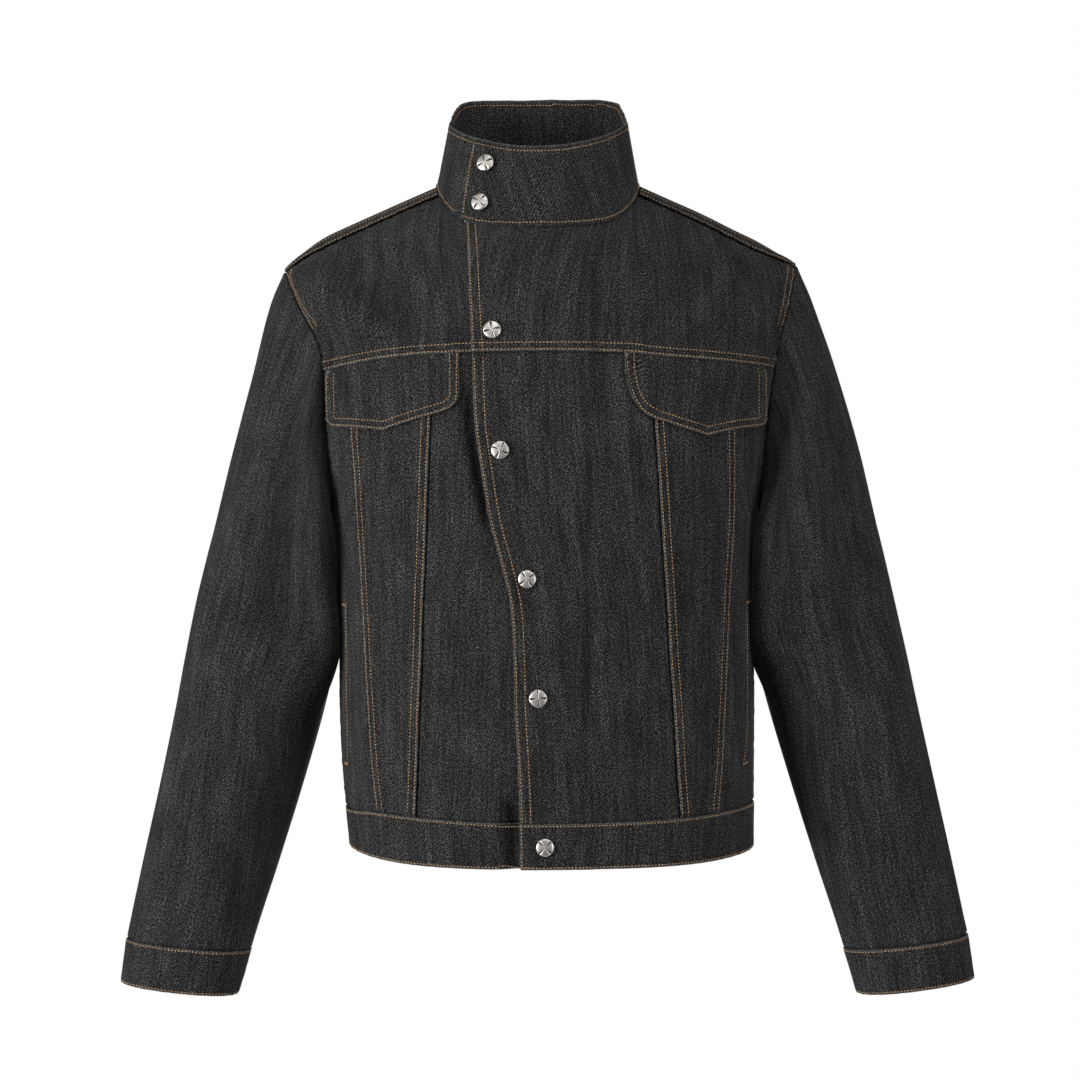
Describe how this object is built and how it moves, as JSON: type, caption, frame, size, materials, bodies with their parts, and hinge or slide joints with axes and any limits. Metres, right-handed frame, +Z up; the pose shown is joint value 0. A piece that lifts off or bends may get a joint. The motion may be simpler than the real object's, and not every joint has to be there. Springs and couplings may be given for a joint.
{
  "type": "denim jacket",
  "caption": "Raw black denim jacket with a funnel collar, an off-centre curved lapped front, flapped chest pockets, waistband and cuffs, filled out as it is worn.",
  "frame": {"origin": "centre of the neck between the two points where the collar meets the shoulders, which is where the wearer holds the jacket up", "axes": "+Z up, the front of the jacket faces -Y, +X toward the wearer's left"},
  "size_m": [0.7477, 0.2508, 0.7954],
  "materials": {
    "denim": "raw black twill with pale flecks",
    "button_metal": "satin silver"
  },
  "bodies": {
    "root": {"front_yoke_left": "denim", "front_yoke_right": "denim", "front_centre_left": "denim", "front_centre_right": "denim", "front_middle_left": "denim", "front_middle_right": "denim", "front_side_left": "denim", "front_side_right": "denim", "back": "denim", "sleeve_left": "denim", "sleeve_right": "denim", "cuff_left": "denim", "cuff_right": "denim", "collar": "denim", "waistband": "denim", "flap_left": "denim", "flap_right": "denim", "button_yoke": "button_metal", "button_chest": "button_metal", "button_waist": "button_metal", "button_low": "button_metal", "button_band": "button_metal", "button_collar_top": "button_metal", "button_collar_base": "button_metal"}
  },
  "joints": []
}
